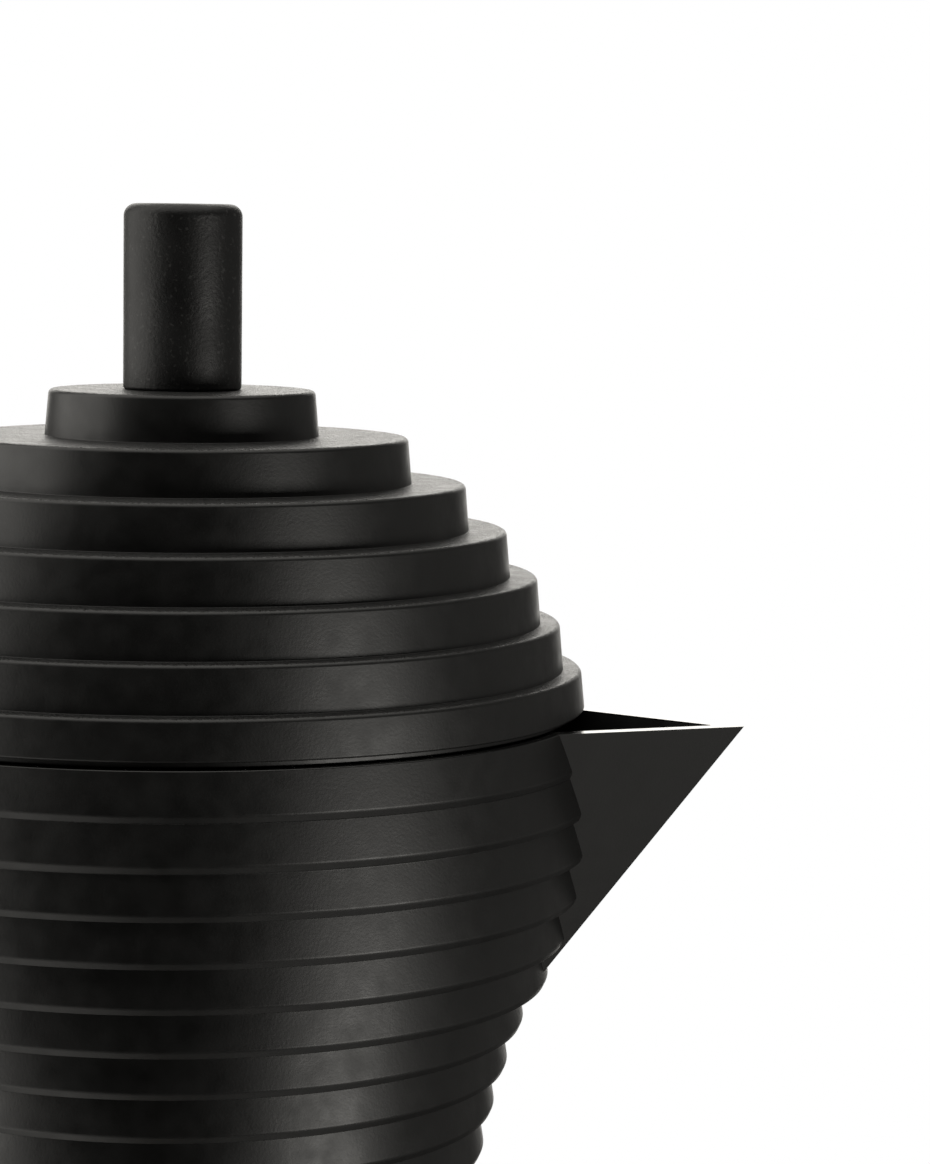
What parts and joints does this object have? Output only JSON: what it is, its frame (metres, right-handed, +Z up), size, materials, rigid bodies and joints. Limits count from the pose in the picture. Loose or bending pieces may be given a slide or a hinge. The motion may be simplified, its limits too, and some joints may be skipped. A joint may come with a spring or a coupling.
{
  "type": "stove-top moka pot",
  "caption": "Stove-top coffee maker with stepped cast vessels that screw together, a V-shaped spout, a hinged stepped lid with a knob and a side handle.",
  "frame": {"origin": "centre of the base, on the table", "axes": "+Z up along the pot's axis, +X out of the spout, the handle and the lid's hinge are at -X, the safety valve is at -Y"},
  "size_m": [0.1622, 0.1076, 0.2025],
  "materials": {
    "cast_black": "satin black coating on cast aluminium",
    "moulded_black": "fine moulded grain",
    "bare_aluminium": "satin",
    "brass": "turned",
    "steel": "turned",
    "seal": "matt silicone"
  },
  "bodies": {
    "boiler": {"boiler": "cast_black", "valve_washer": "seal", "valve_body": "brass", "valve_spring": "steel", "valve_cap": "brass", "funnel": "bare_aluminium", "funnel_sieve": "bare_aluminium"},
    "plunger": {"valve_plunger": "steel"},
    "seal": {"gasket": "seal", "filter_plate": "bare_aluminium"},
    "jug": {"upper_chamber": "cast_black", "column": "bare_aluminium", "hinge_pin": "steel", "handle": "moulded_black", "handle_insert": "brass", "handle_screw": "steel"},
    "lid": {"lid": "cast_black", "knob": "moulded_black", "knob_insert": "brass", "knob_washer": "steel", "knob_screw": "steel"}
  },
  "joints": [
    {"name": "thread_lift", "type": "slide", "parent": "boiler", "child": "seal", "axis": [0, 0, 1], "range_m": [0, 0.006]},
    {"name": "unscrew", "type": "hinge", "parent": "seal", "child": "jug", "pos_m": [0, 0, 0.0807], "axis": [0, 0, 1], "range_deg": [0, 720]},
    {"name": "lid_hinge", "type": "hinge", "parent": "jug", "child": "lid", "pos_m": [-0.05029, 0, 0.1464], "axis": [0, -1, 0], "range_deg": [0, 100]},
    {"name": "valve_lift", "type": "slide", "parent": "boiler", "child": "plunger", "axis": [0, -1, 0], "range_m": [0, 0.0012], "stiffness_N_per_m": 1500, "springref_m": -0.002, "deforming": ["valve_spring"]}
  ],
  "couplings": [
    {"joint": "thread_lift", "follows": "unscrew", "m_per_rad": 0.00047746}
  ]
}
